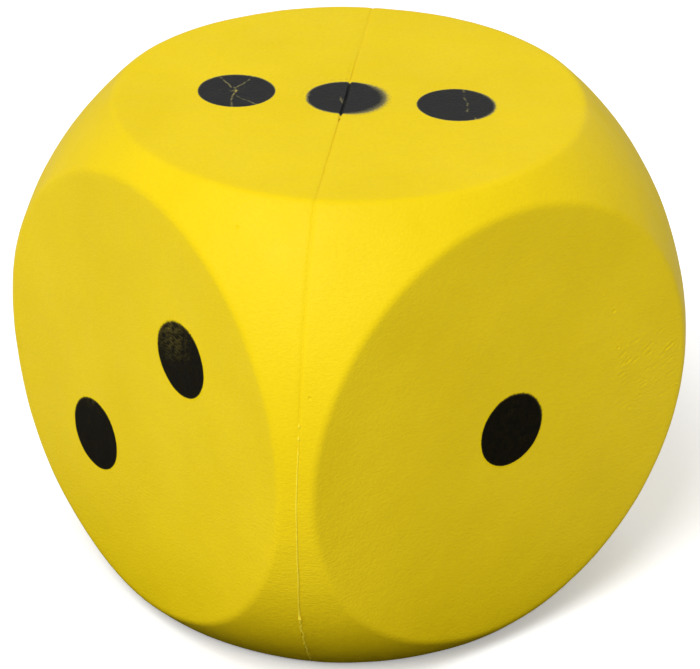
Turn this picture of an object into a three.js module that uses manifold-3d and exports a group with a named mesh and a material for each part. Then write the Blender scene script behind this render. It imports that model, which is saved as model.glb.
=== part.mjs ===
// A giant soft yard dice: a block of foam in a thick flexible skin, with its pips painted on.
//
// The outer shape is a cube whose corners and edges are rounded away by a ball, which leaves six flat discs
// joined by bands of the ball. The skin is moulded in two halves that part on the upright plane X = Y,
// and a bead of skin joins them there. Each pip is a film of paint in a shallow seat of the skin.
//
// Millimetres, +Z up. The die stands on its four, centred over the origin. The three is on top, the one
// faces -Y and the two faces -X, and opposite faces add up to seven.

import * as THREE from "three";
import { mergeGeometries, mergeVertices } from "three/addons/utils/BufferGeometryUtils.js";
import Module from "manifold-3d";

const wasm = await Module();
wasm.setup();

// ---------------------------------------------------------------- driving dimensions

const SIDE = 160; // from one flat face to the opposite one
const EDGE_MARGIN = 7.4; // from the rim of a flat face out to the side of the enclosing cube
const CREASE_RADIUS = 4; // rounding where a flat face turns into the ball
const SKIN = 1.6; // wall of the skin
const SEAM_WIDTH = 1; // bead between the two halves of the skin
const PIP_DIAMETER = 24;
const PIP_FILM = 0.5; // thickness of the paint
const ROW_PITCH = 34; // between the centres of neighbouring pips in a row of three
const CLEARANCE = 0.3; // between pieces that touch

// How finely round surfaces are divided. The sides of a disc's rim are a multiple of 8, so that each rim
// has a point towards every corner and the middle of every edge.
const OUTER_CUTS = { rimSides: 64, creaseSteps: 2, ballSteps: 3 };
const INNER_CUTS = { rimSides: 40, creaseSteps: 1, ballSteps: 2 };
const PIP_SIDES = 28;

// ---------------------------------------------------------------- sizes that follow from them

const HALF = SIDE / 2;
const BALL_RADIUS = Math.hypot(HALF, HALF - EDGE_MARGIN); // the ball passes through the rim of every flat face
const SEAT_DEPTH = PIP_FILM + CLEARANCE;
const CORNER_STEP = ROW_PITCH / Math.SQRT2; // a corner pip's distance from the middle, across and up
const WELD = 1e-4; // points closer than this are one
const REACH = 2 * SIDE; // larger than the die in any direction

// ---------------------------------------------------------------- faces and pips

// Where pips can stand on a face seen from outside: [across, up].
const SPOTS = {
  middle: [0, 0],
  upper_left: [-CORNER_STEP, CORNER_STEP],
  upper_right: [CORNER_STEP, CORNER_STEP],
  lower_left: [-CORNER_STEP, -CORNER_STEP],
  lower_right: [CORNER_STEP, -CORNER_STEP],
  top_left: [-CORNER_STEP, ROW_PITCH],
  mid_left: [-CORNER_STEP, 0],
  bottom_left: [-CORNER_STEP, -ROW_PITCH],
  top_right: [CORNER_STEP, ROW_PITCH],
  mid_right: [CORNER_STEP, 0],
  bottom_right: [CORNER_STEP, -ROW_PITCH],
};
const CORNERS = ["upper_left", "upper_right", "lower_left", "lower_right"];
const DIAGONAL = ["upper_left", "middle", "lower_right"];
const COLUMNS = ["top_left", "mid_left", "bottom_left", "top_right", "mid_right", "bottom_right"];

// slip is how far, across and up, the stencil stood off the middle when that face was painted.
const FACES = [
  { name: "one", out: [0, -1, 0], up: [0, 0, 1], slip: [2, -1.2], pips: ["middle"] },
  { name: "two", out: [-1, 0, 0], up: [0, 0, 1], slip: [-0.3, 0.4], pips: ["upper_right", "lower_left"] },
  { name: "three", out: [0, 0, 1], up: [0, 1, 0], slip: [-1.2, 0], pips: DIAGONAL },
  { name: "four", out: [0, 0, -1], up: [0, 1, 0], slip: [0.6, -0.4], pips: CORNERS },
  { name: "five", out: [1, 0, 0], up: [0, 0, 1], slip: [-0.8, 0.6], pips: [...CORNERS, "middle"] },
  { name: "six", out: [0, 1, 0], up: [0, 0, 1], slip: [0.5, 1], pips: COLUMNS },
];

/** Where a pip stands on its face: across, up and no way outwards. */
function pipPlace({ slip }, spot) {
  return [SPOTS[spot][0] + slip[0], SPOTS[spot][1] + slip[1], 0];
}

/** Turns a face's own frame, across, up and outwards, into the die's. */
function faceTurn({ out, up }) {
  const outward = new THREE.Vector3(...out);
  const upward = new THREE.Vector3(...up);
  const across = new THREE.Vector3().crossVectors(upward, outward);
  return new THREE.Matrix4().makeBasis(across, upward, outward);
}

// ---------------------------------------------------------------- solids

/** A closed geometry as a solid that can be joined and cut. */
function toSolid(geometry) {
  const bare = geometry.clone();
  bare.deleteAttribute("normal");
  bare.deleteAttribute("uv");
  const welded = mergeVertices(bare, WELD);
  return new wasm.Manifold(
    new wasm.Mesh({
      numProp: 3,
      vertProperties: welded.attributes.position.array,
      triVerts: new Uint32Array(welded.index.array),
    }),
  );
}

/** A solid as a geometry that can be drawn. */
function toGeometry(solid) {
  const { vertProperties, triVerts } = solid.getMesh();
  const geometry = new THREE.BufferGeometry();
  geometry.setAttribute("position", new THREE.BufferAttribute(vertProperties, 3));
  geometry.setIndex(new THREE.BufferAttribute(triVerts, 1));
  geometry.computeVertexNormals();
  return geometry;
}

/**
 * A sixth of the die's shape, about its own +Z: the flat disc, the crease around it, and the ball from there
 * out to the four planes where the neighbouring sixths begin. A lathe makes it as wide as it is at the middle
 * of an edge, and then its rings on the ball are stretched out to the corners.
 */
function facePatch(half, ball, { rimSides, creaseSteps, ballSteps }) {
  const creaseHeight = half - CREASE_RADIUS;
  const creaseOut = Math.sqrt((ball - CREASE_RADIUS) ** 2 - creaseHeight ** 2);
  const creaseAngle = Math.atan2(creaseOut, creaseHeight); // from the face's axis to where the ball takes over
  const edgeAngle = Math.PI / 4;

  const profile = [new THREE.Vector2(0, half), new THREE.Vector2(creaseOut, half)];
  for (let step = 1; step <= creaseSteps; step++) {
    const turn = (creaseAngle * step) / creaseSteps;
    const out = creaseOut + CREASE_RADIUS * Math.sin(turn);
    profile.push(new THREE.Vector2(out, creaseHeight + CREASE_RADIUS * Math.cos(turn)));
  }
  const ringsInside = profile.length;
  for (let step = 1; step <= ballSteps; step++) {
    const angle = creaseAngle + ((edgeAngle - creaseAngle) * step) / ballSteps;
    profile.push(new THREE.Vector2(ball * Math.sin(angle), ball * Math.cos(angle)));
  }

  const patch = new THREE.LatheGeometry(profile, rimSides);
  const position = patch.attributes.position;
  for (let side = 0; side <= rimSides; side++) {
    const around = (2 * Math.PI * side) / rimSides;
    const towardsEdge = Math.max(Math.abs(Math.sin(around)), Math.abs(Math.cos(around)));
    const boundary = Math.atan(1 / towardsEdge);
    for (let step = 1; step <= ballSteps; step++) {
      const angle = creaseAngle + ((boundary - creaseAngle) * step) / ballSteps;
      const out = ball * Math.sin(angle);
      const vertex = side * profile.length + ringsInside + step - 1;
      position.setXYZ(vertex, out * Math.sin(around), ball * Math.cos(angle), out * Math.cos(around));
    }
  }
  patch.index.array.reverse(); // the profile runs outwards and down, so its faces are turned to look out
  return patch.applyMatrix4(new THREE.Matrix4().set(0, 0, 1, 0, 1, 0, 0, 0, 0, 1, 0, 0, 0, 0, 0, 1));
}

/** The die's shape with every surface moved inwards by inset. */
function dieShape(inset, cuts) {
  const patch = facePatch(HALF - inset, BALL_RADIUS - inset, cuts);
  return toSolid(mergeGeometries(FACES.map((face) => patch.clone().applyMatrix4(faceTurn(face)))));
}

/** A slab of the given width that starts at a distance from the parting plane, on the side angle points to. */
function partingSlab(start, width, angle) {
  const slab = new THREE.BoxGeometry(width, REACH, REACH);
  slab.translate(start + width / 2, 0, 0);
  slab.rotateZ(angle);
  return toSolid(slab);
}

/** A disc about +Z whose top is level with a flat face, as the pips and the cutters for their seats are. */
function levelDisc(radius, depth, above) {
  const disc = new THREE.CylinderGeometry(radius, radius, depth + above, PIP_SIDES);
  disc.rotateX(Math.PI / 2);
  return disc.translate(0, 0, HALF + (above - depth) / 2);
}

/** The seats of all the pips, standing a little out of the faces so that they cut cleanly. */
function pipSeats() {
  const cutter = levelDisc(PIP_DIAMETER / 2 + CLEARANCE, SEAT_DEPTH, CLEARANCE);
  const seats = FACES.flatMap((face) =>
    face.pips.map((spot) => cutter.clone().translate(...pipPlace(face, spot)).applyMatrix4(faceTurn(face))),
  );
  return seats.map(toSolid).reduce((all, seat) => all.add(seat));
}

// ---------------------------------------------------------------- materials

const skinMaterial = new THREE.MeshStandardMaterial({ color: 0xf0d31c, roughness: 0.55, metalness: 0 });
const seamMaterial = new THREE.MeshStandardMaterial({ color: 0xe6cb2a, roughness: 0.6, metalness: 0 });
const foamMaterial = new THREE.MeshStandardMaterial({ color: 0xe9d98a, roughness: 0.95, metalness: 0 });
const paintMaterial = new THREE.MeshStandardMaterial({ color: 0x1b1a17, roughness: 0.5, metalness: 0 });

// ---------------------------------------------------------------- the die

const shell = dieShape(0, OUTER_CUTS).subtract(dieShape(SKIN, INNER_CUTS)).subtract(pipSeats());
const parting = SEAM_WIDTH / 2 + CLEARANCE; // from the parting plane to the edge of each skin
const towardsLeft = (3 * Math.PI) / 4; // the side of the two and the six
const towardsRight = -Math.PI / 4; // the side of the one and the five

const skinLeft = shell.intersect(partingSlab(parting, REACH, towardsLeft));
const skinRight = shell.intersect(partingSlab(parting, REACH, towardsRight));
const seamBead = shell.intersect(partingSlab(-SEAM_WIDTH / 2, SEAM_WIDTH, towardsRight));
const foamCore = dieShape(SKIN + CLEARANCE, INNER_CUTS);

const die = new THREE.Group();
die.position.z = HALF;

function addPiece(name, geometry, material, parent = die) {
  const piece = new THREE.Mesh(geometry, material);
  piece.name = name;
  parent.add(piece);
  return piece;
}

addPiece("foam_core", toGeometry(foamCore), foamMaterial);
addPiece("skin_left", toGeometry(skinLeft), skinMaterial);
addPiece("skin_right", toGeometry(skinRight), skinMaterial);
addPiece("seam_bead", toGeometry(seamBead), seamMaterial);

const pipGeometry = levelDisc(PIP_DIAMETER / 2, PIP_FILM, 0);
for (const face of FACES) {
  const frame = new THREE.Group();
  frame.quaternion.setFromRotationMatrix(faceTurn(face));
  die.add(frame);
  for (const spot of face.pips) {
    const pip = addPiece(`pip_${face.name}_${spot}`, pipGeometry, paintMaterial, frame);
    pip.position.set(...pipPlace(face, spot));
  }
}

const dice = new THREE.Group();
dice.add(die);
export default dice;
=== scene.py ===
import math

import bmesh
import bpy
import numpy as np
from mathutils import Matrix, Vector


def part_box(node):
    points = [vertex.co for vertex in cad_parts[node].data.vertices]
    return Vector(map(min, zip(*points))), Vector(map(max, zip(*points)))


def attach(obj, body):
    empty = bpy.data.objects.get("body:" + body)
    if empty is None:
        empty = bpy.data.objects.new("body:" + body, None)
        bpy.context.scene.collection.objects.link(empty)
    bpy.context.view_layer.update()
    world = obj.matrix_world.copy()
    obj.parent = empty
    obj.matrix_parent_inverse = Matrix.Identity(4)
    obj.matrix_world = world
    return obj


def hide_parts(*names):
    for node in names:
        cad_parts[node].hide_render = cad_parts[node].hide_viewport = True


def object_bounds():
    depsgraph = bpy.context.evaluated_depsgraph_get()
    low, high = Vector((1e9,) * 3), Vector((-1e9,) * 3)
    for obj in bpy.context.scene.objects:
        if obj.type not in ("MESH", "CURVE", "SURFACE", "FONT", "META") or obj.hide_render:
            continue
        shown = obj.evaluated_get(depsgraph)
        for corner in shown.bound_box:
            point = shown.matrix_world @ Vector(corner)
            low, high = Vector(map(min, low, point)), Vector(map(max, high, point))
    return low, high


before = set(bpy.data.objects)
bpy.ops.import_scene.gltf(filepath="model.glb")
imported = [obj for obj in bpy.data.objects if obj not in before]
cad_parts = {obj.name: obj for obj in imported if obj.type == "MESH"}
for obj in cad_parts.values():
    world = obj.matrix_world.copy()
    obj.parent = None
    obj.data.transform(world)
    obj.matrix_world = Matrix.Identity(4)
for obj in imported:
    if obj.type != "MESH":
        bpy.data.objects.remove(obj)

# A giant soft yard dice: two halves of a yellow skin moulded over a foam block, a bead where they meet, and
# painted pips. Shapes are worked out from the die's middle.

CAD_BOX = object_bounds()
MM = 0.001  # lengths are written in millimetres times MM, and in lists and tables in plain millimetres

# ---------------------------------------------------------------- sizes

HALF = (CAD_BOX[1].z - CAD_BOX[0].z) / 2
MIDDLE = np.array([0, 0, HALF])  # the die's middle in the row frame
EDGE_MARGIN = 7.4 * MM  # from the rim of a flat face out to the side of the enclosing cube
CREASE_RADIUS = 4 * MM  # rounding where a flat face turns into the ball
SKIN = 1.6 * MM
BALL_RADIUS = math.hypot(HALF, HALF - EDGE_MARGIN)
CREASE_UP = HALF - CREASE_RADIUS
CREASE_OUT = math.sqrt((BALL_RADIUS - CREASE_RADIUS) ** 2 - CREASE_UP**2)
FLAT_ANGLE = math.atan2(CREASE_OUT, HALF)  # where a flat face ends, seen from the die's middle
CREASE_ANGLE = math.atan2(CREASE_OUT, CREASE_UP)  # where the ball begins

OUTER_RINGS = (54, 6, 18)  # of a face's grid: over the disc, the crease and half the band of the ball
INNER_RINGS = (12, 2, 5)
FOAM_RINGS = (22, 3, 7)
SEAM_CUTS = [0.25, 0.55, 0.9, 1.4, 2.1, 3.0]  # mm from the seam, lines of the grid that run along it

SEAM_ACROSS = np.array([1, -1, 0]) / math.sqrt(2)
SEAM_NEAR = np.array([-1, -1, 0]) / math.sqrt(2)  # towards the upright edge between the one and the two
LIP = 0.24 * MM  # from the seam's middle to the edge of either half
BEAD_HALF_WIDTH = 0.3 * MM  # the bead is let into both lips
SEAM_REACH = 10 * MM  # how far from the seam its wandering moves the skin

YAW = math.radians(-37.65)  # how far round the die the viewer stands from the face with the one

PIP_SEAT = 0.3 * MM  # how far the skin is sunk under a pip
PIP_RISE = 0.05 * MM  # how far the paint stands above the skin
PIP_SINK = 0.22 * MM  # from the skin's level down to the underside of the paint
RIM_SINK, RIM_UNDER = 0.12 * MM, 0.2 * MM  # and at the film's outermost ring, down to its top and underside


# ---------------------------------------------------------------- the die's smooth shape

def surface(directions):
    """Points on the die's smooth outer shape in these directions from its middle, and its normals there."""
    unit = directions / np.linalg.norm(directions, axis=1, keepdims=True)
    rows = np.arange(len(unit))
    axis = np.abs(unit).argmax(axis=1)
    axis_part = np.zeros_like(unit)
    axis_part[rows, axis] = np.sign(unit[rows, axis])
    out = np.abs(unit[rows, axis])
    side = unit - axis_part * out[:, None]
    across = np.linalg.norm(side, axis=1)
    side /= np.maximum(across, 1e-12)[:, None]
    angle = np.arctan2(across, out)
    along = CREASE_OUT * across + CREASE_UP * out
    inside = along**2 + CREASE_RADIUS**2 - (BALL_RADIUS - CREASE_RADIUS) ** 2
    crease = along + np.sqrt(np.maximum(inside, 0))
    on_flat = angle <= FLAT_ANGLE
    on_ball = angle >= CREASE_ANGLE
    reach = np.where(on_flat, HALF / out, np.where(on_ball, BALL_RADIUS, crease))
    tilt = np.arctan2(reach * across - CREASE_OUT, reach * out - CREASE_UP)
    tilt = np.where(on_flat, 0, np.where(on_ball, angle, tilt))[:, None]
    return unit * reach[:, None], axis_part * np.cos(tilt) + side * np.sin(tilt)


def face_grid(rings):
    """Directions of a square grid that is wrapped round one flat face, with +Z out, and its quads."""
    flat, crease, ball = rings
    size = sum(rings)
    a, b = [g.ravel().astype(float) for g in np.meshgrid(*[np.arange(-size, size + 1)] * 2, indexing="ij")]
    wide = np.abs(a) >= np.abs(b)
    radius = np.where(wide, a, b)
    safe = np.where(radius == 0, 1, radius)
    turn = np.where(wide, math.pi / 4 * b / safe, math.pi / 2 - math.pi / 4 * a / safe)
    ring = np.abs(radius)
    edge = np.arctan(1 / np.maximum(np.abs(np.cos(turn)), np.abs(np.sin(turn))))
    on_flat = np.arctan(ring / flat * CREASE_OUT / HALF)
    on_crease = FLAT_ANGLE + (ring - flat) / crease * (CREASE_ANGLE - FLAT_ANGLE)
    on_ball = CREASE_ANGLE + (ring - flat - crease) / ball * (edge - CREASE_ANGLE)
    polar = np.where(ring <= flat, on_flat, np.where(ring <= flat + crease, on_crease, on_ball))
    outward = np.sign(radius) * np.sin(polar)
    directions = np.column_stack([outward * np.cos(turn), outward * np.sin(turn), np.cos(polar)])
    row = 2 * size + 1
    corner = (np.arange(row - 1)[:, None] * row + np.arange(row - 1)).ravel()
    return directions, np.column_stack([corner, corner + row, corner + row + 1, corner + 1])


def die_grid(rings):
    """A closed bmesh of quads over the whole die, on its smooth shape."""
    directions, quads = face_grid(rings)
    points, faces = [], []
    for axis in range(3):
        for first, second, sign in ((axis + 1, axis + 2, 1), (axis + 2, axis + 1, -1)):
            turned = np.zeros_like(directions)
            turned[:, first % 3] = directions[:, 0]
            turned[:, second % 3] = directions[:, 1]
            turned[:, axis] = sign * directions[:, 2]
            faces.append(quads + len(points) * len(directions))
            points.append(surface(turned)[0])
    mesh = bpy.data.meshes.new("grid")
    mesh.from_pydata(np.vstack(points).tolist(), [], np.vstack(faces).tolist())
    bm = bmesh.new()
    bm.from_mesh(mesh)
    bpy.data.meshes.remove(mesh)
    bmesh.ops.remove_doubles(bm, verts=bm.verts[:], dist=0.002 * MM)
    return bm


def points_of(bm):
    return np.array([v.co for v in bm.verts])


def place(bm, points):
    for vert, point in zip(bm.verts, points):
        vert.co = point


# ---------------------------------------------------------------- patterns over space

def waves(points, length, seed, count=18):
    """A smooth seeded pattern with bumps about length apart, mostly between -1 and 1."""
    rng = np.random.default_rng(seed)
    directions = rng.normal(size=(count, 3))
    directions /= np.linalg.norm(directions, axis=1, keepdims=True)
    pitch = 2 * math.pi / length * rng.uniform(0.7, 1.35, count)
    phase = rng.uniform(0, 2 * math.pi, count)
    return np.sin(points @ (directions * pitch[:, None]).T + phase).sum(axis=1) * 0.7 / math.sqrt(count)


def bump(distance, width):
    """1 where distance is nothing, falling smoothly to 0 over a few widths."""
    return np.exp(-((distance / width) ** 2))


def fade(value, start, end):
    """0 at start, 1 at end, smooth between them."""
    share = np.clip((value - start) / (end - start), 0, 1)
    return share * share * (3 - 2 * share)


def to_segment(points, start, end):
    """Each point's distance from the straight line between two points."""
    run = end - start
    share = np.clip((points - start) @ run / (run @ run), 0, 1)
    return np.linalg.norm(points - start - share[:, None] * run, axis=1)


# ---------------------------------------------------------------- the seam

# Round the die, by the angle in degrees from the top towards the upright edge of the one and the two, and
# then on underneath. Drift is how far the seam strays to the right, in mm.
SEAM_DRIFT = [(-60, -2.1), (-44, -2.1), (-20, -1.5), (-7, -1.2), (8, -0.7), (25, -0.2), (37, 0.1),
              (60, 0.4), (74, 0.7), (90, 0.35), (106, 0.3), (116, -0.3), (124, 0), (180, 0.4),
              (240, -0.8), (270, -1.5)]
# How deep the skin dips to the seam, sharply and in a soft valley, and how high the bead stands above the
# skin, in mm. Through the middle pip on top the dip is a deep groove with the bead far down in it.
SEAM_DIP = [(-60, 0.04), (-22, 0.05), (-18, 0.18), (-8.2, 0.24), (-7, 0.9), (9.5, 0.9), (11, 0.22),
            (38, 0.17), (46, 0.04), (64, 0.04), (70, 0.12), (80, 0.1), (86, 0.02), (118, 0.03),
            (132, 0.05), (146, 0.3), (180, 0.3), (230, 0.2), (250, 0.1), (280, 0.15)]
SEAM_VALLEY = [(-60, 0.14), (-24, 0.14), (-16, 0.05), (0, 0.04), (36, 0.04), (44, 0.21), (66, 0.21),
               (76, 0.08), (90, 0.02), (240, 0.1)]
BEAD_HEIGHT = [(-60, -0.18), (-22, -0.2), (-18, -0.32), (-8.8, -0.4), (-7.6, -1.3), (10.5, -1.3),
               (12, -0.36), (38, -0.26), (46, -0.19), (64, -0.2), (72, -0.22), (78, -0.12), (84, 0.2),
               (104, 0.32), (118, 0.28), (132, 0.2), (146, -0.25), (180, -0.4), (225, -0.25),
               (245, 0.15), (285, 0.1)]
# Small lumps of flash on the bead: where, how long in degrees and how high in mm.
BEAD_LUMPS = [(77.3, 0.25, 0.4), (79.3, 0.25, 0.35), (81.8, 0.3, 0.12), (97, 0.5, 0.1), (103.5, 0.4, 0.12),
              (116, 0.5, 0.5), (243, 0.5, 0.3), (262, 0.8, 0.25)]
KNOT_BLUR = 1.5  # degrees over which the values between knots are smoothed
DIP_WIDTH = 0.42 * MM
VALLEY_WIDTH = 0.9 * MM
# Behind the middle pip a second, broken groove runs beside the seam.
SECOND_FROM, SECOND_TO = -19, -8.5  # degrees
SECOND_OFFSET, SECOND_WIDTH, SECOND_DEPTH = -1.05 * MM, 0.3 * MM, 0.3 * MM


def round_seam(knots, angle):
    """A value given at a few angles round the seam, smoothly filled in between them."""
    angles, values = zip(*knots)
    shifts = np.linspace(-KNOT_BLUR, KNOT_BLUR, 7)
    return np.mean([np.interp(angle + s, angles, values, period=360) for s in shifts], axis=0)


def seam_angle(points):
    return np.degrees(np.arctan2(points @ SEAM_NEAR, points[:, 2]))


def seam_drift(points):
    """How far the seam's wandering moves the skin sideways at these points."""
    drift = round_seam(SEAM_DRIFT, seam_angle(points)) * MM
    drift += 0.1 * MM * waves(points, 14 * MM, 3)
    return drift * bump(points @ SEAM_ACROSS, SEAM_REACH)


def seam_distance(points):
    """Signed distance from the seam as it really runs."""
    return points @ SEAM_ACROSS - seam_drift(points)


def second_line(points, angle, away):
    """1 in the middle of the second groove where it is whole, and 0 away from it."""
    along = fade(angle, SECOND_FROM, SECOND_FROM + 2) * (1 - fade(angle, SECOND_TO - 1, SECOND_TO))
    whole = fade(waves(points, 4 * MM, 9), -0.6, 0.3)
    return along * whole * bump(away - SECOND_OFFSET, SECOND_WIDTH)


def seam_relief(points):
    """The dip of the skin along the seam."""
    angle = seam_angle(points)
    away = seam_distance(points)
    dip = round_seam(SEAM_DIP, angle) * MM * bump(away, DIP_WIDTH)
    valley = round_seam(SEAM_VALLEY, angle) * MM * bump(away, VALLEY_WIDTH)
    return -dip - valley - SECOND_DEPTH * second_line(points, angle, away)


# ---------------------------------------------------------------- marks on the skin

def on_face(out, up, across_mm, up_mm):
    """A point on the smooth shape, by its place in the plane of a flat face seen from outside."""
    out, up = np.array(out, float), np.array(up, float)
    across = np.cross(up, out)
    return surface((out * HALF + across * across_mm * MM + up * up_mm * MM)[None])[0][0]


TOP, ONE, TWO = ((0, 0, 1), (0, 1, 0)), ((0, -1, 0), (0, 0, 1)), ((-1, 0, 0), (0, 0, 1))

# Pinholes: the face, its place on it in mm, width and depth in mm.
PINHOLES = [(on_face(*face, across, up), width * MM, depth * MM) for face, across, up, width, depth in (
    (ONE, 41.3, 27.0, 0.45, 0.35), (ONE, 43.9, 13.6, 0.4, 0.3), (ONE, -75, 34, 0.45, 0.3),
    (TWO, 45, 82, 0.5, 0.35), (TOP, 82, -5, 0.45, 0.3), (TOP, -30, -58, 0.35, 0.2),
    (TWO, -48, -32, 0.35, 0.2))]
PINHOLE_REACH = 2.6 * MM

# Wrinkles that a fold has left near the edge of the one.
WRINKLE_COUNT = 40
WRINKLES_ACROSS, WRINKLES_UP = (46, 69), (-10, 15)  # where they lie on the face, in mm
WRINKLE_WIDTH = 0.36 * MM
WRINKLE_ZONE = on_face(*ONE, 57, 3)
WRINKLE_REACH = 18.5 * MM


def wrinkles():
    """The ends and the depth of each wrinkle. They are flatter and weaker lower down."""
    rng = np.random.default_rng(12)
    made = []
    for _ in range(WRINKLE_COUNT):
        across, up = rng.uniform(*WRINKLES_ACROSS), rng.uniform(*WRINKLES_UP)
        upper = float(fade(up, -10, 10))
        lean = math.radians(rng.uniform(2, 16) + 22 * upper)
        half = rng.uniform(0.5, 1.3)
        run, rise = half * math.cos(lean), half * math.sin(lean)
        ends = [on_face(*ONE, across + side * run, up + side * rise) for side in (-1, 1)]
        made.append((*ends, rng.uniform(0.045, 0.075) * (1 + upper) * MM))
    return made


WRINKLES = wrinkles()


def marks_relief(points):
    """Pinholes and wrinkles, each with a slight rim."""
    height = np.zeros(len(points))
    near = np.linalg.norm(points - WRINKLE_ZONE, axis=1) < WRINKLE_REACH
    for start, end, depth in WRINKLES:
        away = to_segment(points[near], start, end)
        height[near] += depth * (0.4 * bump(away - 0.8 * MM, 0.34 * MM) - bump(away, WRINKLE_WIDTH))
    for centre, width, depth in PINHOLES:
        away = np.linalg.norm(points - centre, axis=1)
        height += depth * (0.2 * bump(away - 1.6 * width, width) - bump(away, width))
    return height


# The skin's unevenness: how far apart its swells are, how high they stand, both in mm, and a seed.
SWELLS = [(62, 0.16, 1), (24, 0.05, 2)]
ORANGE_PEEL = [(9, 0.022, 5), (5, 0.012, 6)]


def uneven(points, patterns):
    return sum(height * MM * waves(points, length * MM, seed) for length, height, seed in patterns)


def relief(points):
    """How far the skin stands out from the smooth shape."""
    return uneven(points, SWELLS + ORANGE_PEEL) + seam_relief(points) + marks_relief(points)


# ---------------------------------------------------------------- pips

# How the paint of a pip has worn, in mm from its middle: across and up on an upright face, and on top to
# the viewer's right and away. cracks are lines of points where the skin shows, and faint is the share of
# paint left in them. thin is a patch of thin paint: across, up, radius and the share of paint lost. fuzz is
# how far spray has drifted past the rim, most of all in the direction drifted, in degrees.
WEAR = {
    "pip_three_upper_left": {
        "cracks": [[(-1.6, 2.7), (-5.3, 9.8)], [(0, 2.7), (2.2, 6), (4.8, 11)],
                   [(-0.8, -2), (-1.4, -7), (-1, -12)], [(0.4, -4), (3.3, -6.9), (6.9, -10.6)],
                   [(-0.7, 2.6), (0, 0.3), (-0.8, -2.2)]],
        "faint": 0.42, "thin": (-0.4, 0.2, 1.8, 0.45)},
    "pip_three_middle": {
        "cracks": [[(-1.2, 1.8), (-1.5, -0.6), (-1.1, -3.4)], [(-11.4, 2), (-12, 0), (-11.4, -2)]],
        "faint": 0.52, "thin": (-1.2, -1.8, 1.1, 0.35), "fuzz": 2.6, "drifted": -15},
    "pip_three_lower_right": {
        "cracks": [[(2.6, 11.8), (2.5, 9.8)], [(2.6, 5.5), (3.6, 1), (3.2, -5)], [(5.6, -9.4), (6, -11.8)]],
        "faint": 0.5, "fuzz": 0.9, "drifted": 5},
    "pip_two_upper_right": {"thin": (-5.5, 8, 9, 0.52), "fuzz": 0.8, "drifted": 110},
    "pip_two_lower_left": {"thin": (-2, 12, 4.5, 0.3), "fuzz": 0.6, "drifted": 100},
}
PLAIN_FUZZ = 0.7  # mm
PIP_RINGS = 34  # of a film's grid, out to the pip's rim
FUZZ_RINGS = 4  # and beyond it, where spray has drifted
PIP_STEPS = 160
SEAM_CROWDING = 0.38  # how much closer a film's rays lie along the seam where it crosses the pip


def pip_nodes():
    return sorted(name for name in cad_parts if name.startswith("pip_"))


def pip_frame(node):
    """A pip's middle on its face, that face's across, up and out, and the pip's radius."""
    low, high = (np.array(corner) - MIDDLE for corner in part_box(node))
    middle = (low + high) / 2
    axis = int(np.abs(middle).argmax())
    out = np.eye(3)[axis] * np.sign(middle[axis])
    across = np.array([math.cos(YAW), math.sin(YAW), 0]) if axis == 2 else np.cross([0, 0, 1], out)
    radius = max(high - low) / 2
    middle[axis] = HALF * out[axis]
    return middle, across, np.cross(out, across), out, radius


PIPS = {node: pip_frame(node) for node in pip_nodes()}


def seat_relief(points):
    """How far the skin is sunk under the pips."""
    depth = np.zeros(len(points))
    for middle, *_, radius in PIPS.values():
        away = np.linalg.norm(points - middle, axis=1)
        depth -= PIP_SEAT * (1 - fade(away, radius - 2.2 * MM, radius - 0.9 * MM))
    return depth


def paint_cover(across, up, rim, node):
    """How much paint covers each point of a pip: 1 is whole paint and 0 is bare skin."""
    rng = np.random.default_rng(sum(map(ord, node)))
    wear = WEAR.get(node, {})
    flat = np.column_stack([across, up, np.full(len(across), rng.uniform(0, 1))])
    cover = 1 - 0.06 * np.abs(waves(flat, 7 * MM, 20))
    wobbled = flat + 0.16 * MM * np.column_stack([waves(flat, 4 * MM, seed) for seed in (21, 22, 23)])
    wobbled[:, 2] = 0
    for crack in wear.get("cracks", ()):
        ends = [np.array([*point, 0]) * MM for point in crack]
        away = np.min([to_segment(wobbled, *pair) for pair in zip(ends, ends[1:])], axis=0)
        broken = 0.35 + 0.65 * fade(waves(flat, 3 * MM, 24), -0.6, 0.1)
        cover -= (1 - wear["faint"]) * bump(away, 0.27 * MM) * broken
    if "thin" in wear:
        x, y, reach = (size * MM for size in wear["thin"][:3])
        patch = bump(np.hypot(across - x, up - y), reach)
        streaks = np.clip(0.5 + 0.8 * waves(flat * [0.5, 2.0, 1], 1.5 * MM, 25), 0, 1)
        cover -= wear["thin"][3] * patch * streaks
    fuzz = wear.get("fuzz", PLAIN_FUZZ) * MM
    drifted = math.radians(wear.get("drifted", rng.uniform(0, 360)))
    side = 0.2 + 0.8 * fade(np.cos(np.arctan2(up, across) - drifted), 0, 0.8)
    past = np.hypot(across, up) - rim
    return np.clip(cover, 0, 1) * (1 - fade(past, -0.9 * fuzz * side, fuzz * side))


def film_turns(node):
    """The directions of a film's rays. They crowd together along the seam where it crosses the pip."""
    middle, across_way, up_way, out, radius = PIPS[node]
    turns = np.arange(PIP_STEPS) / PIP_STEPS * 2 * math.pi
    if abs(middle @ SEAM_ACROSS) < radius and out[2]:
        seam_turn = math.atan2(SEAM_NEAR @ up_way, SEAM_NEAR @ across_way)
        turns = turns - SEAM_CROWDING * np.sin(2 * (turns - seam_turn))
    return turns


def film_outline(node, turns):
    """A pip's slightly ragged rim: its distance from the middle in each direction."""
    rng = np.random.default_rng(sum(map(ord, node)))
    phases = rng.uniform(0, 2 * math.pi, 4)
    ragged = sum(np.sin(k * turns + p) / k for k, p in zip((3, 7, 13, 22), phases))
    return PIPS[node][-1] - 0.1 * MM + 0.12 * MM * ragged


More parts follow.
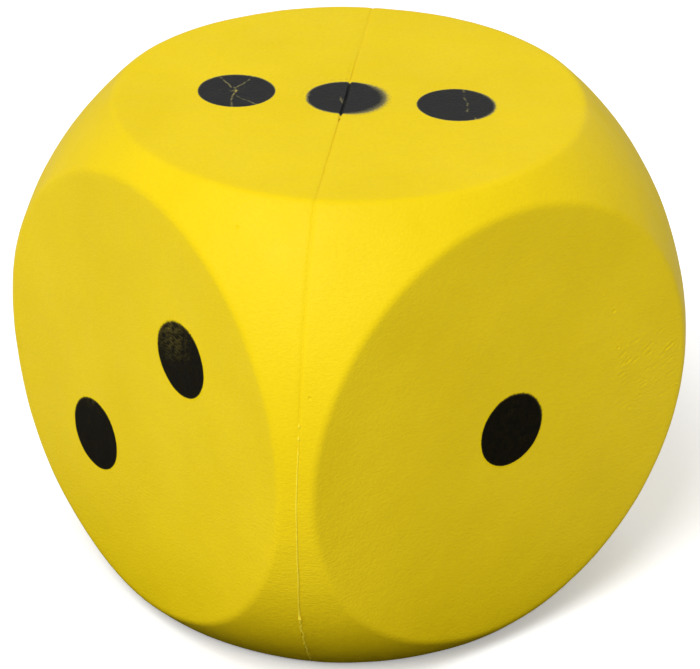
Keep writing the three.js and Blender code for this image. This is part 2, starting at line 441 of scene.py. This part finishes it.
def film_faces(ring_count, under):
    """The faces of a closed disc whose underside starts at the point with the number under."""
    faces = []
    for step in range(PIP_STEPS):
        after = (step + 1) % PIP_STEPS
        for side, first in ((1, 0), (-1, under)):
            faces.append([first, first + 1 + step, first + 1 + after][::side])
            for ring in range(ring_count - 1):
                near = first + 1 + ring * PIP_STEPS
                far = near + PIP_STEPS
                faces.append([near + step, far + step, far + after, near + after][::side])
        last = 1 + (ring_count - 1) * PIP_STEPS
        faces.append([last + step, under + last + step, under + last + after, last + after])
    return faces


def pip(node):
    """A film of paint that follows the skin: a closed disc whose rim is let into the skin."""
    middle, across_way, up_way, out, radius = PIPS[node]
    fuzz = WEAR.get(node, {}).get("fuzz", PLAIN_FUZZ) * MM
    turns = film_turns(node)
    rim = film_outline(node, turns)
    inner = np.arange(1, PIP_RINGS + 1) / PIP_RINGS
    past = [*(fuzz * np.arange(1, FUZZ_RINGS + 1) / FUZZ_RINGS), fuzz + 0.08 * MM]
    spread = np.concatenate([np.outer(inner, rim), np.add.outer(past, rim)])
    across = np.concatenate([[0], (spread * np.cos(turns)).ravel()])
    up = np.concatenate([[0], (spread * np.sin(turns)).ravel()])
    cover = paint_cover(across, up, np.concatenate([[radius], np.tile(rim, len(spread))]), node)
    ground = middle + np.outer(across, across_way) + np.outer(up, up_way)
    level = relief(ground)
    rise = PIP_RISE * (0.35 + 0.65 * cover)
    sink = np.full(len(ground), PIP_SINK)
    rise[-PIP_STEPS:] = -RIM_SINK
    sink[-PIP_STEPS:] = RIM_UNDER
    top = ground + np.outer(level + rise, out)
    under = ground + np.outer(level - sink, out)
    mesh = bpy.data.meshes.new(node)
    faces = film_faces(len(spread), len(ground))
    mesh.from_pydata((np.vstack([top, under]) + MIDDLE).tolist(), [], faces)
    values = mesh.attributes.new("cover", "FLOAT", "POINT")
    values.data.foreach_set("value", np.concatenate([cover, cover]))
    # The pips on top and underneath get the glossier paint, greyed all over as a painted sheen.
    paint = PAINT_SHEENED if out[2] else PAINT
    return piece(mesh, "paint_" + node.removeprefix("pip_"), paint, node)


# ---------------------------------------------------------------- skin, bead and foam

def half_grid(rings, side, cuts):
    """The part of the die's grid on one side of the seam's plane, with extra lines along the seam."""
    bm = die_grid(rings)
    normal = Vector(SEAM_ACROSS * side)
    for distance in [0, *cuts]:
        everything = bm.verts[:] + bm.edges[:] + bm.faces[:]
        bmesh.ops.bisect_plane(bm, geom=everything, dist=0.001 * MM, plane_co=normal * distance * MM,
                               plane_no=normal, clear_inner=distance == 0)
    return bm


def refine(bm, centre, reach, cuts):
    """Cut the edges round a point finer."""
    centre = Vector(centre)
    edges = [e for e in bm.edges if all((v.co - centre).length < reach for v in e.verts)]
    bmesh.ops.subdivide_edges(bm, edges=edges, cuts=cuts, use_grid_fill=True)


def parted(points, side):
    """Points and normals after the seam has wandered sideways and the halves have parted by their lips."""
    away = np.abs(points @ SEAM_ACROSS)
    shift = seam_drift(points) + side * LIP * np.exp(-away / (2 * MM))
    return surface(points + np.outer(shift, SEAM_ACROSS))


def skin_half(name, node, side):
    """One half of the skin: its outer face with the relief, its plain inner face, and the edge between."""
    outer = half_grid(OUTER_RINGS, side, SEAM_CUTS)
    for centre, *_ in PINHOLES:
        refine(outer, centre, PINHOLE_REACH, 3)
    refine(outer, WRINKLE_ZONE, WRINKLE_REACH, 2)
    points, normals = parted(points_of(outer), side)
    height = relief(points) + seat_relief(points)
    place(outer, points + normals * height[:, None])
    inner = half_grid(INNER_RINGS, side, [])
    points, normals = parted(points_of(inner), side)
    place(inner, points - normals * SKIN)
    bmesh.ops.reverse_faces(inner, faces=inner.faces[:])
    mesh = bpy.data.meshes.new(name)
    inner.to_mesh(mesh)
    outer.from_mesh(mesh)
    rims = [e for e in outer.edges if e.is_boundary]
    bmesh.ops.bridge_loops(outer, edges=rims)
    bmesh.ops.recalc_face_normals(outer, faces=outer.faces[:])
    bmesh.ops.translate(outer, verts=outer.verts[:], vec=Vector(MIDDLE))
    outer.to_mesh(mesh)
    outer.free()
    inner.free()
    made = np.empty(len(mesh.vertices) * 3)
    mesh.vertices.foreach_get("co", made)
    values = roughness_of(made.reshape(-1, 3) - MIDDLE)
    mesh.attributes.new("roughened", "FLOAT", "POINT").data.foreach_set("value", values)
    return piece(mesh, name, SKIN_LOOK, node)


def roughness_of(points):
    """Where the skin's grain is coarser: low on the upright edges, and round the wrinkles."""
    edge = bump(np.abs(np.abs(points[:, 0]) - np.abs(points[:, 1])), 26 * MM)
    low = fade(-points[:, 2], -35 * MM, 25 * MM)
    folded = bump(np.linalg.norm(points - WRINKLE_ZONE, axis=1), 15 * MM)
    folded *= 0.6 + 0.5 * waves(points, 9 * MM, 8)
    return np.clip(edge * low + folded, 0, 1)


BEAD_STEPS = 1800
BEAD_FOOT = -1.5  # mm from the skin's level, inside the skin
# One side of the bead's section from the foot up: how far out, in half widths, and how far under the crest,
# in mm. The foot keeps its own level.
BEAD_SIDE = [(1, BEAD_FOOT), (1, -0.28), (0.55, -0.08)]
BEAD_SECTION = [(-out, up) for out, up in BEAD_SIDE] + [(0, 0)] + BEAD_SIDE[::-1]
RAGGED_FROM, RAGGED_TO = (112, 117), (130, 140)  # degrees over which ragged flash sets in and ends


def bead_run(angle, line):
    """Round the seam: the bead's height in mm, its lumps, how ridged it is, and where it is ragged."""
    height = round_seam(BEAD_HEIGHT, angle) + 0.015 * waves(line, 6 * MM, 31)
    lumps = sum(rise * bump(angle - where, length) for where, length, rise in BEAD_LUMPS)
    height += lumps
    ridge = fade(height, -0.05, 0.2)
    flash = fade(angle, *RAGGED_FROM) * (1 - fade(angle, *RAGGED_TO))
    height += flash * 0.14 * np.abs(waves(line, 2.2 * MM, 32))
    return height, lumps, ridge, flash


def bead():
    """The strip of skin squeezed out between the two halves, with lumps of flash."""
    angle = np.arange(BEAD_STEPS) / BEAD_STEPS * 360
    turn = np.radians(angle)
    line = surface(np.outer(np.cos(turn), [0, 0, 1]) + np.outer(np.sin(turn), SEAM_NEAR))[0]
    height, lumps, ridge, flash = bead_run(angle, line)
    lean = flash * (0.15 + 0.3 * waves(line, 3 * MM, 33)) * MM
    loops = []
    for across, drop in BEAD_SECTION:
        above = drop > BEAD_FOOT
        sideways = across * BEAD_HALF_WIDTH * (1 + (flash * 0.4 + lumps) * above) + lean * above
        ground, normals = surface(line + np.outer(sideways + seam_drift(line), SEAM_ACROSS))
        level = height + drop * (0.3 + 0.7 * ridge) if above else np.full(BEAD_STEPS, BEAD_FOOT)
        loops.append(ground + normals * (level * MM + uneven(ground, SWELLS))[:, None])
    points = np.stack(loops, axis=1).reshape(-1, 3)
    mesh = bpy.data.meshes.new("seam_flash")
    mesh.from_pydata((points + MIDDLE).tolist(), [], ring_faces(BEAD_STEPS, len(BEAD_SECTION)))
    # The crest of the bead, where it stands up, carries a share of paler yellow for its material: a painted
    # highlight along the ridge.
    crest = [abs(across) < 0.8 for across, _ in BEAD_SECTION]
    crest_highlight = ridge * (0.8 + 0.2 * waves(line, 5 * MM, 34))
    lit_crest = mesh.attributes.new("lit_crest", "FLOAT", "POINT")
    lit_crest.data.foreach_set("value", np.outer(crest_highlight, crest).ravel())
    return piece(fixed(mesh), "seam_flash", SEAM_LOOK, "seam_bead")


def ring_faces(steps, count):
    """The quads of a closed ring of this many sections, each a loop of count points."""
    faces = []
    for step in range(steps):
        here, there = step * count, (step + 1) % steps * count
        for k in range(count):
            after = (k + 1) % count
            faces.append((here + k, here + after, there + after, there + k))
    return faces


def foam():
    """The foam block, which fills the skin with a hair's gap."""
    bm = die_grid(FOAM_RINGS)
    points, normals = surface(points_of(bm))
    depth = SKIN + 0.35 * MM + 0.12 * MM * (1 + waves(points, 5 * MM, 41))
    place(bm, points - normals * depth[:, None] + MIDDLE)
    mesh = bpy.data.meshes.new("foam_block")
    bm.to_mesh(mesh)
    bm.free()
    return piece(mesh, "foam_block", FOAM_LOOK, "foam_core")


def fixed(mesh):
    """The same mesh with all its faces turned outwards."""
    bm = bmesh.new()
    bm.from_mesh(mesh)
    bmesh.ops.recalc_face_normals(bm, faces=bm.faces[:])
    bm.to_mesh(mesh)
    bm.free()
    return mesh


def piece(mesh, name, material, node):
    """A smooth shaded piece that rides on the die and stands for one CAD node."""
    mesh.name = name
    mesh.shade_smooth()
    mesh.set_sharp_from_angle(angle=math.radians(50))
    mesh.materials.append(material)
    obj = bpy.data.objects.new(name, mesh)
    bpy.context.scene.collection.objects.link(obj)
    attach(obj, "root")
    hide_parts(node)
    return obj


# ---------------------------------------------------------------- materials

YELLOW_LIGHT = (0.89, 0.66, 0.004, 1)
YELLOW_DEEP = (0.85, 0.625, 0.002, 1)
YELLOW_GRAIN = (0.62, 0.40, 0.002, 1)
# Paler yellow for the crest of the seam's bead: a painted highlight.
YELLOW_CREST_HIGHLIGHT = (0.97, 0.8, 0.045, 1)
# The foam is coloured darker in the pits of its cells than on their walls: painted shade in the hollows.
FOAM_PIT_SHADE, FOAM_WALL = (0.62, 0.5, 0.16, 1), (0.8, 0.7, 0.32, 1)


class Nodes:
    """A new material's node tree, with a short way to add and link nodes."""

    def __init__(self, name):
        self.material = bpy.data.materials.new(name)
        self.material.use_nodes = True
        self.tree = self.material.node_tree
        self.shader = self.tree.nodes["Principled BSDF"]
        self.place = self.add("ShaderNodeTexCoord").outputs["Object"]

    def add(self, kind, **settings):
        node = self.tree.nodes.new(kind)
        for key, value in settings.items():
            setattr(node, key, value)
        return node

    def link(self, source, target):
        self.tree.links.new(source, target)

    def set(self, **values):
        for key, value in values.items():
            self.shader.inputs[key.replace("_", " ")].default_value = value

    def stretched(self, *scale):
        """The object's coordinates with each axis scaled."""
        node = self.add("ShaderNodeMapping")
        node.inputs["Scale"].default_value = scale
        self.link(self.place, node.inputs["Vector"])
        return node.outputs[0]

    def noise(self, size, detail=2.0, roughness=0.5, vector=None):
        """A noise pattern with lumps of about this size."""
        node = self.add("ShaderNodeTexNoise")
        node.inputs["Scale"].default_value = 1 / size
        node.inputs["Detail"].default_value = detail
        node.inputs["Roughness"].default_value = roughness
        self.link(vector or self.place, node.inputs["Vector"])
        return node.outputs["Fac"]

    def spread(self, value, low, high, to_low=0.0, to_high=1.0):
        """A value from one range brought into another."""
        node = self.add("ShaderNodeMapRange")
        for key, number in zip(("From Min", "From Max", "To Min", "To Max"), (low, high, to_low, to_high)):
            node.inputs[key].default_value = number
        self.link(value, node.inputs["Value"])
        return node.outputs["Result"]

    def mix(self, share, first, second):
        """A colour between two colours, each a colour or another node's output."""
        node = self.add("ShaderNodeMix", data_type="RGBA")
        for slot_name, given in (("Factor", share), ("A", first), ("B", second)):
            socket = next(s for s in node.inputs if s.name == slot_name and s.enabled)
            if isinstance(given, bpy.types.NodeSocket):
                self.link(given, socket)
            else:
                socket.default_value = given
        return next(s for s in node.outputs if s.enabled)

    def bumps(self, *layers):
        """Bumps from (pattern, depth in metres) layers, one on top of the other."""
        normal = None
        for height, depth in layers:
            node = self.add("ShaderNodeBump")
            node.inputs["Strength"].default_value = 1
            node.inputs["Distance"].default_value = depth
            self.link(height, node.inputs["Height"])
            if normal:
                self.link(normal, node.inputs["Normal"])
            normal = node.outputs["Normal"]
        self.link(normal, self.shader.inputs["Normal"])


def skin_colour(nodes):
    """The skin's yellow, in soft clouds with a fine grain in it."""
    clouds = nodes.spread(nodes.noise(38 * MM, 3), 0.35, 0.65)
    base = nodes.mix(clouds, YELLOW_DEEP, YELLOW_LIGHT)
    grain = nodes.spread(nodes.noise(1.3 * MM, 3, 0.6, nodes.stretched(1, 1, 1.7)), 0.3, 0.7, 0, 0.12)
    return nodes.mix(grain, base, YELLOW_GRAIN)


def skin_bumps(nodes):
    """Fine grain all over, in short level streaks that are deeper where the skin is roughened."""
    grain = nodes.noise(1.1 * MM, 3, 0.6, nodes.stretched(1, 1, 1.8))
    streaks = nodes.noise(2.1 * MM, 3, 0.6, nodes.stretched(1, 1, 2.4))
    roughened = nodes.add("ShaderNodeAttribute", attribute_name="roughened").outputs["Fac"]
    strength = nodes.spread(roughened, 0, 1, 0.09, 0.34)
    deeper = nodes.add("ShaderNodeMath", operation="MULTIPLY")
    nodes.link(streaks, deeper.inputs[0])
    nodes.link(strength, deeper.inputs[1])
    nodes.bumps((deeper.outputs[0], 0.6 * MM), (grain, 0.16 * MM))


def skin_look(name, roughness, flash=False):
    """Matt yellow skin. flash makes it paler where the bead's attribute asks for it: a painted highlight
    along the crest of the ridge.
    """
    nodes = Nodes(name)
    colour = skin_colour(nodes)
    if flash:
        lit_crest = nodes.add("ShaderNodeAttribute", attribute_name="lit_crest").outputs["Fac"]
        colour = nodes.mix(lit_crest, colour, YELLOW_CREST_HIGHLIGHT)
    nodes.link(colour, nodes.shader.inputs["Base Color"])
    gloss = nodes.spread(nodes.noise(11 * MM, 3), 0.3, 0.7, roughness - 0.05, roughness + 0.06)
    nodes.link(gloss, nodes.shader.inputs["Roughness"])
    skin_bumps(nodes)
    nodes.set(Specular_IOR_Level=0.12)
    return nodes.material


def paint_look(name, dark, worn, thin, specular):
    """Matt black paint that shows the skin where it is thin."""
    nodes = Nodes(name)
    cover = nodes.add("ShaderNodeAttribute", attribute_name="cover").outputs["Fac"]
    mottle = nodes.spread(nodes.noise(2.5 * MM, 4, 0.65), 0.35, 0.65)
    speckled = nodes.add("ShaderNodeMath", operation="ADD")
    nodes.link(cover, speckled.inputs[0])
    nodes.link(nodes.spread(nodes.noise(0.6 * MM, 2), 0.3, 0.7, -0.1, 0.1), speckled.inputs[1])
    thinnest = nodes.spread(speckled.outputs[0], 0.02, 0.42)
    thicker = nodes.spread(speckled.outputs[0], 0.36, 0.9)
    sheer = nodes.mix(thinnest, skin_colour(nodes), thin)
    nodes.link(nodes.mix(thicker, sheer, nodes.mix(mottle, dark, worn)), nodes.shader.inputs["Base Color"])
    nodes.link(nodes.spread(mottle, 0, 1, 0.42, 0.55), nodes.shader.inputs["Roughness"])
    skin_bumps(nodes)
    nodes.set(Specular_IOR_Level=specular)
    return nodes.material


def foam_look():
    nodes = Nodes("foam_cells")
    cells = nodes.add("ShaderNodeTexVoronoi")
    cells.inputs["Scale"].default_value = 1 / (0.9 * MM)
    nodes.link(nodes.place, cells.inputs["Vector"])
    # Darker in the pits of the cells, as painted shade.
    colour = nodes.mix(nodes.spread(cells.outputs["Distance"], 0, 0.7), FOAM_PIT_SHADE, FOAM_WALL)
    nodes.link(colour, nodes.shader.inputs["Base Color"])
    nodes.bumps((cells.outputs["Distance"], 0.3 * MM))
    nodes.set(Roughness=0.95, Specular_IOR_Level=0.1)
    return nodes.material


SKIN_LOOK = skin_look("yellow_skin", 0.5)
SEAM_LOOK = skin_look("yellow_seam", 0.46, flash=True)
PAINT = paint_look("black_paint", (0.0034, 0.003, 0.0011, 1), (0.008, 0.0062, 0.0018, 1),
                   (0.08, 0.064, 0.012, 1), 0.02)
# Glossier paint for the pips on top and underneath. Its dark greys, and the paler grey where it is thin,
# are a painted sheen over black paint.
PAINT_SHEENED = paint_look("black_paint_painted_sheen", (0.012, 0.0125, 0.013, 1), (0.022, 0.023, 0.021, 1),
                         (0.21, 0.185, 0.075, 1), 0.1)
FOAM_LOOK = foam_look()


# ---------------------------------------------------------------- stage, light and camera

PITCH, ROLL = math.radians(28.65), math.radians(0.774)
CAMERA_DISTANCE = 12.15 * HALF
CAMERA_AIM = (-0.0162 * HALF, 0.0342 * HALF)  # how far left of and below the die's middle the camera aims
LENS = 156.4  # mm on a sensor 36 mm wide
KEY_WAY = Vector((-0.56, -0.27, 0.78)).normalized()
BACK_WAY = Vector((0.9, 0.2, 0.38)).normalized()
LAMP_DISTANCE, LAMP_SIZE = 3.2, 1.5
KEY_POWER, BACK_POWER = 71, 4
FILL = 0.5
FLOOR_SIZE = 6
FLOOR_DROP = 0.45 * MM  # under the CAD's lowest point, to clear the skin's swells
FLOOR_DARK_TO, FLOOR_LIGHT_FROM = 95 * MM, 150 * MM  # from its middle, to all rays but the camera's
FLOOR_GLOW = 0.3


def grey(level):
    return (level, level, level, 1)


def floor():
    """A white floor that fills the view. Only the camera sees it so white: it throws little light back up
    at the die, and least from right under it.
    """
    nodes = Nodes("floor_paper")
    tone = nodes.spread(nodes.noise(0.4, 2), 0.3, 0.7)
    white = nodes.mix(tone, grey(0.97), grey(0.99))
    seen = nodes.add("ShaderNodeLightPath").outputs["Is Camera Ray"]
    away = nodes.add("ShaderNodeVectorMath", operation="LENGTH")
    nodes.link(nodes.place, away.inputs[0])
    lit = nodes.spread(away.outputs["Value"], FLOOR_DARK_TO, FLOOR_LIGHT_FROM)
    dim = nodes.mix(lit, grey(0.02), grey(0.62))
    nodes.link(nodes.mix(seen, dim, white), nodes.shader.inputs["Base Color"])
    nodes.link(nodes.mix(seen, grey(0), grey(1)), nodes.shader.inputs["Emission Color"])
    nodes.set(Roughness=0.9, Specular_IOR_Level=0.1, Emission_Strength=FLOOR_GLOW)
    bm = bmesh.new()
    bmesh.ops.create_grid(bm, x_segments=8, y_segments=8, size=FLOOR_SIZE)
    mesh = bpy.data.meshes.new("floor")
    bm.to_mesh(mesh)
    bm.free()
    mesh.materials.append(nodes.material)
    obj = bpy.data.objects.new("floor", mesh)
    obj.location.z = CAD_BOX[0].z - FLOOR_DROP
    bpy.context.scene.collection.objects.link(obj)


def softbox(name, way, power):
    """A big square lamp in this direction from the die, which faces it."""
    lamp = bpy.data.lights.new(name, "AREA")
    lamp.size = LAMP_SIZE
    lamp.energy = power
    obj = bpy.data.objects.new(name, lamp)
    obj.location = Vector(MIDDLE) + way * LAMP_DISTANCE
    obj.rotation_euler = way.to_track_quat("Z", "Y").to_euler()
    bpy.context.scene.collection.objects.link(obj)


def lights():
    """A softbox from the upper left in front, a weak one from behind on the right, and an even fill."""
    softbox("key", KEY_WAY, KEY_POWER)
    softbox("back", BACK_WAY, BACK_POWER)
    world = bpy.data.worlds.new("studio")
    world.use_nodes = True
    world.node_tree.nodes["Background"].inputs["Color"].default_value = (1, 1, 1, 1)
    world.node_tree.nodes["Background"].inputs["Strength"].default_value = FILL
    bpy.context.scene.world = world


def camera():
    right = Vector((math.cos(YAW), math.sin(YAW), 0))
    back = Vector((math.sin(YAW) * math.cos(PITCH), -math.cos(YAW) * math.cos(PITCH), math.sin(PITCH)))
    upright = back.cross(right)
    across = right * math.cos(ROLL) + upright * math.sin(ROLL)
    up = upright * math.cos(ROLL) - right * math.sin(ROLL)
    data = bpy.data.cameras.new("camera")
    data.sensor_width = 36
    data.lens = LENS
    data.clip_end = 50
    obj = bpy.data.objects.new("camera", data)
    place_at = Vector(MIDDLE) + back * CAMERA_DISTANCE - across * CAMERA_AIM[0] - up * CAMERA_AIM[1]
    obj.matrix_world = Matrix.Translation(place_at) @ Matrix((across, up, back)).transposed().to_4x4()
    bpy.context.scene.collection.objects.link(obj)
    bpy.context.scene.camera = obj
    bpy.context.scene.view_settings.view_transform = "Standard"


# ---------------------------------------------------------------- all together

camera()
lights()
floor()
foam()
skin_half("skin_left_half", "skin_left", -1)
skin_half("skin_right_half", "skin_right", 1)
bead()
for pip_node in PIPS:
    pip(pip_node)
